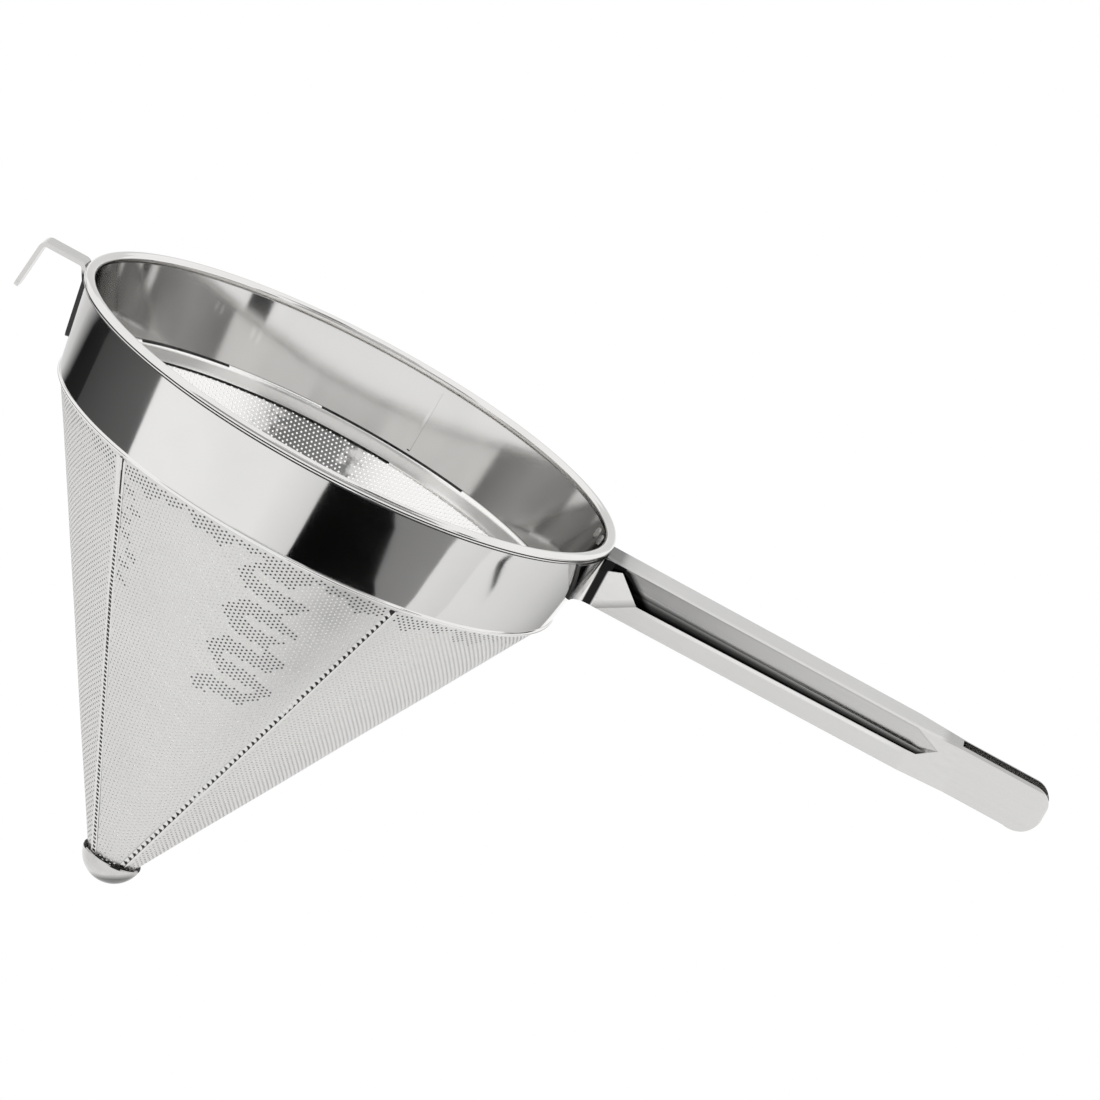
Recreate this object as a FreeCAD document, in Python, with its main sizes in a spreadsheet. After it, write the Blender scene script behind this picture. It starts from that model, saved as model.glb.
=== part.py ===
import FreeCAD, Part
import math
import os
import Sketcher

# Conical strainer with a polished band, standing upright: +Z runs up the axis of the cone
# out of the mouth, +X runs along the handle, and the origin is the centre of the rim plane.
# All lengths are in millimetres and all angles in degrees.

os.makedirs("parts", exist_ok=True)
doc = FreeCAD.newDocument("strainer")

DIMENSIONS = {
    # rim bead, rolled round a wire
    "rim_radius": 120.0,
    "bead_radius": 2.3,
    "curl_thickness": 0.7,
    "curl_start": -58.0,
    "curl_finish": 256.0,
    "curl_root": 279.0,
    "wire_radius": 1.5,
    "wire_sides": 6.0,
    # tapered band
    "band_depth": 39.8,
    "band_low_radius": 111.8,
    "band_slope": 0.1627,
    "band_thickness": 0.8,
    "hem_depth": 1.9,
    "hem_bulge": 0.45,
    # weld line down the inside of the band
    "weld_azimuth": 77.0,
    "weld_top": 4.2,
    "weld_low": 32.5,
    "weld_width": 1.4,
    "weld_rise": 0.3,
    "weld_run": 0.6,
    "weld_gap": 0.03,
    # ring that clamps the top edge of the cone against the band
    "ring_top": 33.6,
    "ring_low": 41.2,
    "ring_gap": 0.08,
    "ring_crown": 1.5,
    "ring_hook": 1.0,
    "ring_throat": 1.25,
    "ring_foot": 3.5,
    "ring_sole": 0.6,
    # perforated cone of one narrower gore and equal wide ones, each bent in flat panels
    "gore_count": 5.0,
    "narrow_gore": 68.0,
    "gore_play": 0.2,
    "panel_count": 8.0,
    "first_seam": -59.5,
    "apex_depth": 235.8,
    "cone_slope": 0.5663,
    "gore_thickness": 0.5,
    "lip_top": 34.7,
    "lip_gap": 0.15,
    "gore_top": 40.1,
    "gore_tip": 221.5,
    # grid of openings in each gore
    "hole_columns": 4.0,
    "hole_rows": 7.0,
    "hole_high": 46.0,
    "hole_low": 212.0,
    "hole_share": 0.57,
    "hole_fill": 0.95,
    "hole_reach": 2.0,
    # folded strip that covers the joint between two gores
    "seam_width": 4.0,
    "seam_height": 1.1,
    "seam_top": 41.4,
    "seam_low": 215.1,
    "seam_gap": 0.12,
    "seam_chamfer": 0.35,
    "web_half": 0.3,
    "web_width": 0.6,
    # domed cap over the tip
    "cap_edge": 215.8,
    "cap_radius": 13.0,
    "cap_low": 227.5,
    "cap_thickness": 0.8,
    "cap_skirt": 0.6,
    "cap_bevel": 0.35,
    "cap_gap": 0.05,
    "cap_flange": 0.45,
    "cap_sides": 30.0,
    # folded sheet handle
    "handle_start": 119.6,
    "wall_start": 122.7,
    "handle_end": 324.0,
    "grip_end": 262.0,
    "tongue_start": 283.0,
    "slot_start": 281.5,
    "grip_half": 9.5,
    "tongue_half": 5.9,
    "handle_top": 1.8,
    "handle_low": 23.3,
    "tongue_low": 22.2,
    "handle_thickness": 1.2,
    "lip_half": 6.2,
    "heel_run": 13.5,
    "heel_radius": 11.5,
    "heel_top": 13.0,
    "nose_low": 8.2,
    "nose_radius": 8.6,
    # flared roots of the handle, welded round the band
    "flange_top_sweep": 20.5,
    "flange_low_sweep": 9.4,
    "flange_gap": 0.06,
    "flange_overlap": 1.0,
    "flange_top_drop": 0.9,
    "flange_low_rise": 0.1,
    # pressed recess in each side of the handle
    "recess_top": 2.8,
    "recess_low": 14.9,
    "recess_depth": 3.2,
    "recess_root": 3.6,
    "recess_radius": 3.7,
    "recess_lean": 0.3,
    "recess_nose": 4.3,
    "recess_step_run": 5.3,
    "recess_step_drop": 2.3,
    "recess_slant": 16.7,
    "recess_tail": 4.0,
    "recess_tail_rise": 1.8,
    # rest hook opposite the handle
    "hook_width": 12.5,
    "hook_thickness": 1.8,
    "hook_tab_low": 30.5,
    "hook_neck": 6.5,
    "hook_gap": 0.09,
    "hook_skew": 0.35,
    "hook_rise": 0.1,
    "hook_crook": 0.86,
    "hook_inner_crook": 1.95,
    "hook_reach": 140.6,
    "hook_inner_step": 0.13,
    "hook_foot": 143.2,
    "hook_drop": 22.1,
    "hook_outer_fillet": 3.2,
    "hook_inner_fillet": 1.4,
    "hook_corner_fillet": 3.0,
    # spot welds seen on the inside of the band
    "spot_radius": 2.2,
    "spot_height": 0.3,
    "spot_sink": 0.06,
    "spot_sides": 12.0,
    "spot_depth": 6.0,
    "spot_near_azimuth": 12.5,
    "spot_far_azimuth": 17.0,
    "hook_spot_high": 12.0,
    "hook_spot_low": 24.0,
    # cutting solids run past what they cut
    "cutter_margin": 5.0,
    "cutter_height": 60.0,
    "cutter_length": 700.0,
}

# two points nearer than this are taken to be in line
TOUCH = 0.01
# four corners that lie this near a plane make one flat face
FLAT = 1e-6
# straight runs that stand for the two arcs of a flared root, and levels down it
BEND_RUNS = 4
BAND_RUNS = 4
FLANGE_RUNS = 4

sheet = doc.addObject("Spreadsheet::Sheet", "sheet")
for row, (alias, value) in enumerate(DIMENSIONS.items(), start=1):
    sheet.set("A%d" % row, alias)
    sheet.set("B%d" % row, repr(value))
    sheet.setAlias("B%d" % row, alias)
doc.recompute()


class Dim:
    """A length or number that keeps its value and its spreadsheet expression together."""

    def __init__(self, value, text):
        self.value = value
        self.text = text

    def _join(self, other, sign, value):
        return Dim(value, "(%s %s %s)" % (self.text, sign, other.text))

    def __add__(self, other):
        other = dim(other)
        return self._join(other, "+", self.value + other.value)

    def __sub__(self, other):
        other = dim(other)
        return self._join(other, "-", self.value - other.value)

    def __mul__(self, other):
        other = dim(other)
        return self._join(other, "*", self.value * other.value)

    def __truediv__(self, other):
        other = dim(other)
        return self._join(other, "/", self.value / other.value)

    def __neg__(self):
        return Dim(-self.value, "(-1 * %s)" % self.text)


def dim(item):
    """A sheet alias, a plain number or a Dim, as a Dim."""
    if isinstance(item, Dim):
        return item
    if isinstance(item, str):
        return Dim(DIMENSIONS[item], "sheet.%s" % item)
    return Dim(float(item), repr(float(item)))


def square_root(item):
    return Dim(math.sqrt(item.value), "sqrt(%s)" % item.text)


def cosine(item):
    return Dim(math.cos(math.radians(item.value)), "cos(%s * 1 deg)" % item.text)


def sine(item):
    return Dim(math.sin(math.radians(item.value)), "sin(%s * 1 deg)" % item.text)


def bind(thing, prop, item):
    """Set a property from a Dim, through its expression."""
    thing.setExpression(prop, dim(item).text)


def new_body(label):
    made = doc.addObject("PartDesign::Body", label)
    made.Label = label
    return made


def plane_of(body, role):
    for item in body.Origin.OriginFeatures:
        if item.Role == role:
            return item
    raise ValueError(role)


def new_sketch(name, role, body=None):
    """A sketch on one of the origin planes, in a body or free in the document."""
    if body is not None:
        made = body.newObject("Sketcher::SketchObject", name)
        made.AttachmentSupport = (plane_of(body, role), [""])
        made.MapMode = "FlatFace"
        return made
    made = doc.addObject("Sketcher::SketchObject", name)
    turns = {
        "XY_Plane": FreeCAD.Rotation(),
        "XZ_Plane": FreeCAD.Rotation(FreeCAD.Vector(1, 0, 0), 90),
        "YZ_Plane": FreeCAD.Rotation(0.5, 0.5, 0.5, 0.5),
    }
    made.Placement = FreeCAD.Placement(FreeCAD.Vector(), turns[role])
    return made


def pin(sketch, geo, end, spot):
    """Hold one end of a line or arc at a point given by two Dims."""
    for kind, item, axis in (("DistanceX", spot[0], -2), ("DistanceY", spot[1], -1)):
        item = dim(item)
        if abs(item.value) < 1e-9:
            sketch.addConstraint(Sketcher.Constraint("PointOnObject", geo, end, axis))
            continue
        ends = (-1, 1, geo, end) if item.value > 0 else (geo, end, -1, 1)
        number = sketch.addConstraint(Sketcher.Constraint(kind, *ends, abs(item.value)))
        sketch.setExpression("Constraints[%d]" % number, (item if item.value > 0 else -item).text)


def outline(sketch, spots):
    """Draw a closed outline.

    Each entry is a corner (x, y), or (x, y, radius, side) where the run to the next corner
    is an arc of that radius whose centre lies to the left (side 1) or right (side -1).
    """
    total = len(spots)
    plain = [FreeCAD.Vector(dim(s[0]).value, dim(s[1]).value, 0) for s in spots]
    for number, spot in enumerate(spots):
        start = plain[number]
        finish = plain[(number + 1) % total]
        if len(spot) == 2:
            sketch.addGeometry(Part.LineSegment(start, finish), False)
            pin(sketch, number, 1, spot[:2])
            continue
        radius = dim(spot[2])
        chord = finish - start
        rise = math.sqrt(max(radius.value ** 2 - (chord.Length / 2) ** 2, 0.0))
        left = FreeCAD.Vector(-chord.y, chord.x, 0).normalize()
        centre = (start + finish) * 0.5 + left * rise * spot[3]
        first = math.atan2(start.y - centre.y, start.x - centre.x)
        last = math.atan2(finish.y - centre.y, finish.x - centre.x)
        if spot[3] < 0:
            first, last = last, first
        round_line = Part.Circle(centre, FreeCAD.Vector(0, 0, 1), radius.value)
        sketch.addGeometry(Part.ArcOfCircle(round_line, first, last), False)
        pin(sketch, number, 1 if spot[3] > 0 else 2, spot[:2])
    for number, spot in enumerate(spots):
        after = (number + 1) % total
        here = 2 if len(spot) == 2 or spot[3] > 0 else 1
        there = 1 if len(spots[after]) == 2 or spots[after][3] > 0 else 2
        sketch.addConstraint(Sketcher.Constraint("Coincident", number, here, after, there))
    for number, spot in enumerate(spots):
        if len(spot) == 4:
            radius = dim(spot[2])
            held = sketch.addConstraint(Sketcher.Constraint("Radius", number, radius.value))
            sketch.setExpression("Constraints[%d]" % held, radius.text)


def revolve(body, sketch):
    """Revolve a sketch of the XZ plane about the Z axis."""
    made = body.newObject("PartDesign::Revolution", body.Label + "_turn")
    made.Profile = sketch
    made.ReferenceAxis = (sketch, ["V_Axis"])
    made.Angle = 360.0


def pad(body, sketch, name, length, both_sides=False, reverse=False, kind="Pad"):
    """A straight pad or pocket of a sketch."""
    made = body.newObject("PartDesign::" + kind, name)
    made.Profile = sketch
    made.Length = dim(length).value
    bind(made, "Length", length)
    if both_sides:
        made.SideType = "Symmetric"
    made.Reversed = reverse
    return made


def edges_where(feature, test):
    """Names of the edges of a feature's shape that pass a test on their end points."""
    names = []
    for number, edge in enumerate(feature.Shape.Edges, start=1):
        spots = [v.Point for v in edge.Vertexes]
        if len(spots) == 2 and test(spots[0], spots[1]):
            names.append("Edge%d" % number)
    return names


def blend(body, kind, base, names, size):
    """Fillet or chamfer the named edges of a feature."""
    made = body.newObject("PartDesign::" + kind, base.Name + "_" + kind.lower())
    made.Base = (base, names)
    bind(made, "Radius" if kind == "Fillet" else "Size", size)
    return made


def flat_face(corners):
    return Part.Face(Part.makePolygon([*corners, corners[0]]))


def sewn(name, faces):
    """A solid from the flat faces that enclose it."""
    shell = Part.Shell(faces)
    shell.sewShape()
    solid = Part.Solid(shell)
    if solid.Volume < 0:
        solid.reverse()
    made = doc.addObject("Part::Feature", name)
    made.Shape = solid
    return made


def faceted_loft(name, loops):
    """Flat-faced solid through loops of points with the same number of corners.

    A side whose four corners don't lie in one plane is made of two triangles.
    """
    faces = [flat_face(loops[0]), flat_face(loops[-1])]
    for above, below in zip(loops, loops[1:]):
        for number, first in enumerate(above):
            second, third, fourth = above[number - 1], below[number - 1], below[number]
            normal = (second - first).cross(fourth - first).normalize()
            if abs(normal.dot(third - first)) < FLAT:
                faces.append(flat_face([first, second, third, fourth]))
            else:
                faces += [flat_face([first, second, third]), flat_face([first, third, fourth])]
    return sewn(name, faces)


def faceted_turn(name, section, sides):
    """Flat-faced solid: points (radius, height), from axis to axis, carried round Z."""
    rings = []
    for side in range(sides):
        turn = FreeCAD.Rotation(FreeCAD.Vector(0, 0, 1), 360 / sides * side)
        rings.append([turn.multVec(FreeCAD.Vector(radius, 0, height)) for radius, height in section])
    faces = []
    for last, this in zip(rings, rings[1:] + rings[:1]):
        for number in range(len(section) - 1):
            corners = [last[number], last[number + 1], this[number + 1], this[number]]
            if section[number][0] < TOUCH:
                corners.pop()
            if section[number + 1][0] < TOUCH:
                corners.pop(2)
            faces.append(flat_face(corners))
    return sewn(name, faces)


def band_radius(depth):
    """Outer radius of the band at a depth below the rim plane."""
    return dim("band_low_radius") + dim("band_slope") * (dim("band_depth") - depth)


def cone_radius(depth):
    """Outer radius of the perforated cone at a depth below the rim plane."""
    return dim("cone_slope") * (dim("apex_depth") - depth)


# ---------------------------------------------------------------- band and rim wire

bead_centre = dim("rim_radius") - "bead_radius"
curl_inner = dim("bead_radius") - "curl_thickness"


def bead_spot(radius, angle):
    """A point on the bead section, at an angle from the outward direction."""
    angle = dim(angle)
    return (bead_centre + radius * cosine(angle), radius * sine(angle))


def make_band():
    """The bead and its curl are drawn in short straight runs round the wire."""
    body = new_body("band")
    sketch = new_sketch("band_section", "XZ_Plane", body)
    wall = dim("band_thickness")
    foot = dim("band_depth")
    hem_start = foot - "hem_depth"
    hem_middle = foot - dim("hem_depth") / 2
    bead = dim("bead_radius")
    outline(sketch, [
        (band_radius(foot) - wall, -foot),
        (band_radius(foot), -foot),
        (band_radius(hem_middle) + "hem_bulge", -hem_middle),
        (band_radius(hem_start), -hem_start),
        bead_spot(curl_inner, "curl_root"),
        *[bead_spot(curl_inner, angle) for angle in range(240, -1, -60)],
        bead_spot(curl_inner, "curl_start"),
        bead_spot(bead, "curl_start"),
        *[bead_spot(bead, angle) for angle in (0, 45, 90, 140, 195)],
        bead_spot(bead, "curl_finish"),
    ])
    revolve(body, sketch)
    return body


def make_rim_wire():
    body = new_body("rim_wire")
    sketch = new_sketch("wire_section", "XZ_Plane", body)
    sides = int(DIMENSIONS["wire_sides"])
    outline(sketch, [bead_spot(dim("wire_radius"), 360 / sides * side) for side in range(sides)])
    revolve(body, sketch)
    return body


# ---------------------------------------------------------------- clamp ring and weld seam

def make_clamp_ring():
    """Ring that hooks over the lip of the cone and holds it against the band."""
    body = new_body("clamp_ring")
    sketch = new_sketch("ring_section", "XZ_Plane", body)
    top = dim("ring_top")
    low = dim("ring_low")
    hook = top + "ring_hook"
    face = band_radius(top) - "band_thickness"
    outline(sketch, [
        (face - "ring_gap", -top),
        (face - "ring_crown", -top),
        (face - "ring_foot", -low),
        (face - "ring_foot" + "ring_sole", -low),
        (face - "ring_throat", -hook),
        (face - dim("ring_gap") * 2, -hook),
    ])
    revolve(body, sketch)
    return body


def make_band_weld():
    body = new_body("band_weld")
    sketch = new_sketch("weld_section", "XZ_Plane", body)
    high = dim("weld_top")
    low = dim("weld_low")
    face_high = band_radius(high) - "band_thickness"
    face_low = band_radius(low) - "band_thickness"
    outline(sketch, [
        (face_high - "weld_gap", -high),
        (face_high - "weld_rise", -(high + "weld_run")),
        (face_low - "weld_rise", -(low - "weld_run")),
        (face_low - "weld_gap", -low),
    ])
    pad(body, sketch, "weld_pad", "weld_width", both_sides=True)
    body.setExpression("Placement.Rotation.Angle", "sheet.weld_azimuth * 1 deg")
    return body


# ---------------------------------------------------------------- gores of the cone

narrow_pitch = dim("narrow_gore")
wide_pitch = (dim(360.0) - narrow_pitch) / (dim("gore_count") - 1.0)
slant_factor = square_root(dim(1.0) + dim("cone_slope") * "cone_slope")
sheet_run = dim("gore_thickness") * slant_factor


def gore_loop(pitch, depth, radius, thickness):
    """Level loop round a gore's sheet: whole flat panels between two half ones."""
    panel = pitch / "panel_count"
    turns = [panel * (number + 0.5) for number in range(int(DIMENSIONS["panel_count"]))]
    turns = [dim(0.0), *turns, pitch - "gore_play"]
    reaches = [(radius, turn) for turn in turns] + [(radius - thickness, turn) for turn in turns[::-1]]
    return [FreeCAD.Vector((reach * cosine(turn)).value, (reach * sine(turn)).value, -depth.value)
            for reach, turn in reaches]


def cut_openings(body, label, pitch):
    """A plain grid of openings: one column of pockets, repeated across the gore."""
    columns = int(DIMENSIONS["hole_columns"])
    step = (dim("hole_low") - "hole_high") / "hole_rows"
    reach = dim("hole_reach")
    pockets = []
    for row in range(int(DIMENSIONS["hole_rows"])):
        high = dim("hole_high") + step * row
        low = high + step * "hole_share"
        sketch = new_sketch("%s_row_%d" % (label, row + 1), "XZ_Plane", body)
        outline(sketch, [
            (cone_radius(high) - reach, -high),
            (cone_radius(low) - reach, -low),
            (cone_radius(low) + reach, -low),
            (cone_radius(high) + reach, -high),
        ])
        sketch.AttachmentOffset = FreeCAD.Placement(
            FreeCAD.Vector(), FreeCAD.Rotation(FreeCAD.Vector(0, 1, 0), pitch.value / columns / 2))
        turn = pitch / "hole_columns" / 2
        sketch.setExpression("AttachmentOffset.Rotation.Angle", "%s * 1 deg" % turn.text)
        width = cone_radius(low) * sine(pitch / "panel_count" / 2) * 2 * "hole_fill"
        pockets.append(pad(body, sketch, "%s_slot_%d" % (label, row + 1), width, True, kind="Pocket"))
    grid = body.newObject("PartDesign::PolarPattern", label + "_grid")
    grid.Originals = pockets
    grid.Axis = (plane_of(body, "Z_Axis"), [""])
    grid.Occurrences = columns
    bind(grid, "Angle", pitch * (columns - 1) / columns)
    body.Tip = grid


def make_gore_master(label, pitch):
    """The gore that others of its width copy: sheet, openings and the strip over its first edge."""
    lip = dim("lip_top")
    top = dim("gore_top")
    tip = dim("gore_tip")
    lip_face = band_radius(lip) - "band_thickness" - "lip_gap"
    sheet_metal = faceted_loft(label + "_sheet", [
        gore_loop(pitch, lip, lip_face, dim("gore_thickness")),
        gore_loop(pitch, top, cone_radius(top), sheet_run),
        gore_loop(pitch, tip, cone_radius(tip), sheet_run),
    ])
    body = new_body(label)
    body.BaseFeature = sheet_metal
    cut_openings(body, label, pitch)

    high = dim("seam_top")
    low = dim("seam_low")
    gap = dim("seam_gap")
    rise = dim("seam_height") * slant_factor
    fold = new_sketch(label + "_fold", "XZ_Plane", body)
    outline(fold, [
        (cone_radius(high) + gap, -high),
        (cone_radius(low) + gap, -low),
        (cone_radius(low) + rise, -low),
        (cone_radius(high) + rise, -high),
    ])
    pad(body, fold, label + "_strip", "seam_width", both_sides=True)
    web = new_sketch(label + "_web", "XZ_Plane", body)
    half = dim("web_half")
    outline(web, [
        (cone_radius(high) - half, -high),
        (cone_radius(low) - half, -low),
        (cone_radius(low) + half, -low),
        (cone_radius(high) + half, -high),
    ])
    joined = pad(body, web, label + "_edge", "web_width", reverse=True)
    doc.recompute()

    def outer_long_edge(first, second):
        """The strip's two long outer edges, which stand clear of the cone."""
        side = abs(abs(first.y) - DIMENSIONS["seam_width"] / 2)
        stands = first.x - DIMENSIONS["cone_slope"] * (DIMENSIONS["apex_depth"] + first.z)
        straight = abs(first.y - second.y) < TOUCH
        long = abs(first.z - second.z) > DIMENSIONS["cap_radius"]
        return side < TOUCH and straight and long and stands > rise.value / 2

    blend(body, "Chamfer", joined, edges_where(joined, outer_long_edge), "seam_chamfer")
    return body


def make_gore(number, master):
    """A copy of the master gore, turned to its place."""
    body = new_body("gore_%d" % number)
    copied = body.newObject("PartDesign::FeatureBase", body.Label + "_copy")
    copied.BaseFeature = master
    body.Tip = copied
    turn = "(sheet.first_seam + %d * %s) * 1 deg" % (number - 1, wide_pitch.text)
    body.setExpression("Placement.Rotation.Angle", turn)
    return body


# ---------------------------------------------------------------- tip cap

def dome(wide, low, skirt, facets):
    """Points of a shallow dome from its lowest point out towards its edge."""
    drop = low - skirt
    ball = (wide * wide + drop * drop) / (drop * 2)
    sweep = math.asin(wide / ball)
    turns = [sweep * step / facets for step in range(facets)]
    return [(ball * math.sin(turn), ball * (1 - math.cos(turn)) - low) for turn in turns]


def make_tip_cap():
    """Thin domed cap with a narrow flange that turns in to the cone."""
    edge = DIMENSIONS["cap_edge"]
    low = DIMENSIONS["cap_low"]
    wide = DIMENSIONS["cap_radius"]
    wall = DIMENSIONS["cap_thickness"]
    skirt = edge + DIMENSIONS["cap_skirt"]
    mouth = cone_radius(dim(edge)).value + DIMENSIONS["cap_gap"]
    return faceted_turn("tip_cap", [
        *dome(wide, low, skirt, 4),
        (wide, -skirt),
        (wide - DIMENSIONS["cap_bevel"], -edge),
        (mouth, -edge),
        (mouth, -(edge + DIMENSIONS["cap_flange"])),
        (wide - wall, -skirt),
        *dome(wide - wall, low - wall, skirt, 3)[::-1],
    ], int(DIMENSIONS["cap_sides"]))


# ---------------------------------------------------------------- handle

def extrude(name, sketch, axis, reach, both_sides=True):
    """A solid prism of a free sketch along a global axis."""
    made = doc.addObject("Part::Extrusion", name)
    made.Base = sketch
    made.DirMode = "Custom"
    made.Dir = axis
    made.LengthFwd = dim(reach).value
    bind(made, "LengthFwd", reach)
    made.Solid = True
    made.Symmetric = both_sides
    return made


def boolean(kind, name, base, tool):
    made = doc.addObject("Part::" + kind, name)
    made.Base = base
    made.Tool = tool
    return made


def fuse(name, parts):
    made = doc.addObject("Part::MultiFuse", name)
    made.Shapes = parts
    return made


def mirror_across_xz(name, source):
    made = doc.addObject("Part::Mirroring", name)
    made.Source = source
    made.Normal = FreeCAD.Vector(0, 1, 0)
    made.Base = FreeCAD.Vector(0, 0, 0)
    return made


def plan_of_handle(name, inset, start):
    """The handle seen from above, drawn in by an inset from its outer faces."""
    sketch = new_sketch(name, "XY_Plane")
    grip = dim("grip_half") - inset
    tongue = dim("tongue_half") - inset
    bend = dim("handle_end") - "tongue_half"
    outline(sketch, [
        (start, -grip),
        (dim("grip_end"), -grip),
        (dim("tongue_start"), -tongue),
        (bend, -tongue, tongue, 1),
        (bend + tongue, 0, tongue, 1),
        (bend, tongue),
        (dim("tongue_start"), tongue),
        (dim("grip_end"), grip),
        (start, grip),
    ])
    return sketch


def side_of_handle(name):
    """The handle seen from the side, with its rounded end."""
    sketch = new_sketch(name, "XZ_Plane")
    end = dim("handle_end")
    top = dim("handle_top")
    low = dim("handle_low")
    tail = dim("tongue_low")
    nose = dim("nose_radius")
    outline(sketch, [
        (dim("handle_start"), -low),
        (dim("tongue_start"), -tail),
        (end - "heel_run", -tail, "heel_radius", 1),
        (end, -(top + "heel_top")),
        (end, -(top + "nose_low"), nose, 1),
        (end - nose, -top),
        (dim("handle_start"), -top),
    ])
    return sketch


def recess_section(name, grow):
    """The pressed hollow in one side of the grip, seen along the handle."""
    sketch = new_sketch(name, "YZ_Plane")
    face = dim("grip_half")
    deep = face - "recess_depth" - grow
    top = dim("recess_top") - grow * "recess_lean"
    low = dim("recess_low") + grow
    clear = face + "cutter_margin"
    outline(sketch, [
        (face, -top),
        (deep, -(dim("recess_low") - "recess_root"), dim("recess_radius") + grow, 1),
        (face, -low),
        (clear, -low),
        (clear, -top),
    ])
    return sketch


def recess_side(name, grow):
    """The same hollow seen from the side, with its slanting ends."""
    sketch = new_sketch(name, "XZ_Plane")
    top = dim("recess_top")
    low = dim("recess_low")
    start = dim("wall_start") - grow
    outline(sketch, [
        (start, -(top - grow)),
        (start, -(top + "recess_nose" + grow)),
        (start + "recess_step_run", -(top + "recess_step_drop" + grow)),
        (start + "recess_slant", -(low + grow)),
        (dim("grip_end") + "recess_tail" + grow, -(low - "recess_tail_rise" + grow)),
        (dim("slot_start") + grow, -(top - grow)),
    ])
    return sketch


def round_run(centre, radius, first, last, steps):
    """Points in short straight runs on an arc about a centre, both ends included."""
    turns = [math.radians(first + (last - first) * step / steps) for step in range(steps + 1)]
    return [(centre[0] + radius * math.cos(turn), centre[1] + radius * math.sin(turn)) for turn in turns]


def flange_loop(depth, sweep):
    """Level loop round the flared root of one side wall.

    It leaves the wall in a round bend and then lies along the band.
    """
    wall = DIMENSIONS["handle_thickness"]
    face = DIMENSIONS["grip_half"]
    start = DIMENSIONS["wall_start"]
    lap = start + DIMENSIONS["flange_overlap"]
    near = band_radius(depth).value + DIMENSIONS["flange_gap"]
    far = near + wall
    bend = (start ** 2 + face ** 2 - far ** 2) / (2 * (far - face))
    centre = (start, -(face + bend))
    meet = math.degrees(math.atan2(centre[1], centre[0]))
    spots = [
        (lap, -face),
        (lap, -(face - wall)),
        *round_run(centre, bend + wall, 90, 180 + meet, BEND_RUNS),
        *round_run((0, 0), near, meet, -sweep, BAND_RUNS)[1:],
        *round_run((0, 0), far, -sweep, meet, BAND_RUNS),
        *round_run(centre, bend, 180 + meet, 90, BEND_RUNS)[1:],
    ]
    return [FreeCAD.Vector(x, y, -depth.value) for x, y in spots]


def lifted_prism(name, plan, low, height):
    """A free plan stood on a level and extruded upward."""
    made = extrude(name, plan, FreeCAD.Vector(0, 0, 1), height, both_sides=False)
    made.Placement.Base = FreeCAD.Vector(0, 0, low.value)
    made.setExpression("Placement.Base.z", low.text)
    return made


def make_handle():
    """Folded sheet handle, open below, with pressed sides, flared roots and a hanging eye."""
    tall = dim("cutter_height")
    margin = dim("cutter_margin")
    along = FreeCAD.Vector(1, 0, 0)
    across = FreeCAD.Vector(0, 1, 0)
    upward = FreeCAD.Vector(0, 0, 1)
    wall = dim("handle_thickness")
    start = dim("handle_start")
    low = dim("handle_low")
    top = dim("handle_top")
    plan = extrude("handle_plan_solid", plan_of_handle("handle_plan", dim(0.0), start), upward, tall)
    side = extrude("handle_side_solid", side_of_handle("handle_side"), across, tall)
    outer = boolean("Common", "handle_outer", plan, side)
    hollow_plan = plan_of_handle("hollow_plan", wall, start - margin)
    hollow = lifted_prism("handle_hollow", hollow_plan, wall - low, low - top - wall * 2)

    gap_plan = new_sketch("gap_plan", "XY_Plane")
    lip = dim("lip_half")
    outline(gap_plan, [
        (start - margin, -lip),
        (dim("grip_end"), -lip),
        (dim("grip_end"), lip),
        (start - margin, lip),
    ])
    gap = lifted_prism("handle_gap", gap_plan, -(low + wall), wall * 3)

    eye_plan = new_sketch("eye_plan", "XY_Plane")
    tongue = dim("tongue_half") - wall
    bend = dim("handle_end") - "tongue_half"
    outline(eye_plan, [
        (dim("slot_start"), -tongue),
        (bend, -tongue, tongue, 1),
        (bend + tongue, 0, tongue, 1),
        (bend, tongue),
        (dim("slot_start"), tongue),
    ])
    eye = extrude("handle_eye", eye_plan, upward, tall)

    length = dim("cutter_length")
    cut_section = extrude("recess_run", recess_section("recess_shape", dim(0.0)), along, length)
    cut_side = extrude("recess_span", recess_side("recess_ends", dim(0.0)), across, tall)
    cut_left = boolean("Common", "recess_left", cut_section, cut_side)
    cut_right = mirror_across_xz("recess_right", cut_left)
    core_section = extrude("core_run", recess_section("core_shape", wall), along, length)
    core_side = extrude("core_span", recess_side("core_ends", wall), across, tall)
    core_left = boolean("Common", "core_left", core_section, core_side)
    core_right = mirror_across_xz("core_right", core_left)

    cuts = fuse("recess_cuts", [cut_left, cut_right])
    cores = fuse("recess_cores", [core_left, core_right])
    pressed = boolean("Cut", "handle_pressed", outer, cuts)
    cavity = boolean("Cut", "handle_cavity", hollow, cores)
    spaces = fuse("handle_spaces", [cavity, gap, eye])
    shell = boolean("Cut", "handle_shell", pressed, spaces)

    root_plan = new_sketch("root_plan", "XZ_Plane")
    outline(root_plan, [
        (start - margin, -(top + wall)),
        (start - margin, -dim("band_depth")),
        (dim("wall_start"), -dim("band_depth")),
        (dim("wall_start"), -(top + wall)),
    ])
    root_cut = extrude("root_cut", root_plan, across, tall)
    trimmed = boolean("Cut", "handle_trimmed", shell, root_cut)

    first = top + "flange_top_drop"
    last = low - "flange_low_rise"
    drawn_in = dim("flange_low_sweep") - "flange_top_sweep"
    flange = faceted_loft("flange_near", [
        flange_loop(first + (last - first) * share, (dim("flange_top_sweep") + drawn_in * share).value)
        for share in (level / FLANGE_RUNS for level in range(FLANGE_RUNS + 1))
    ])
    flange_far = mirror_across_xz("flange_far", flange)
    made = fuse("handle", [trimmed, flange, flange_far])
    made.Label = "handle"
    return made


# ---------------------------------------------------------------- hook

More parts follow.
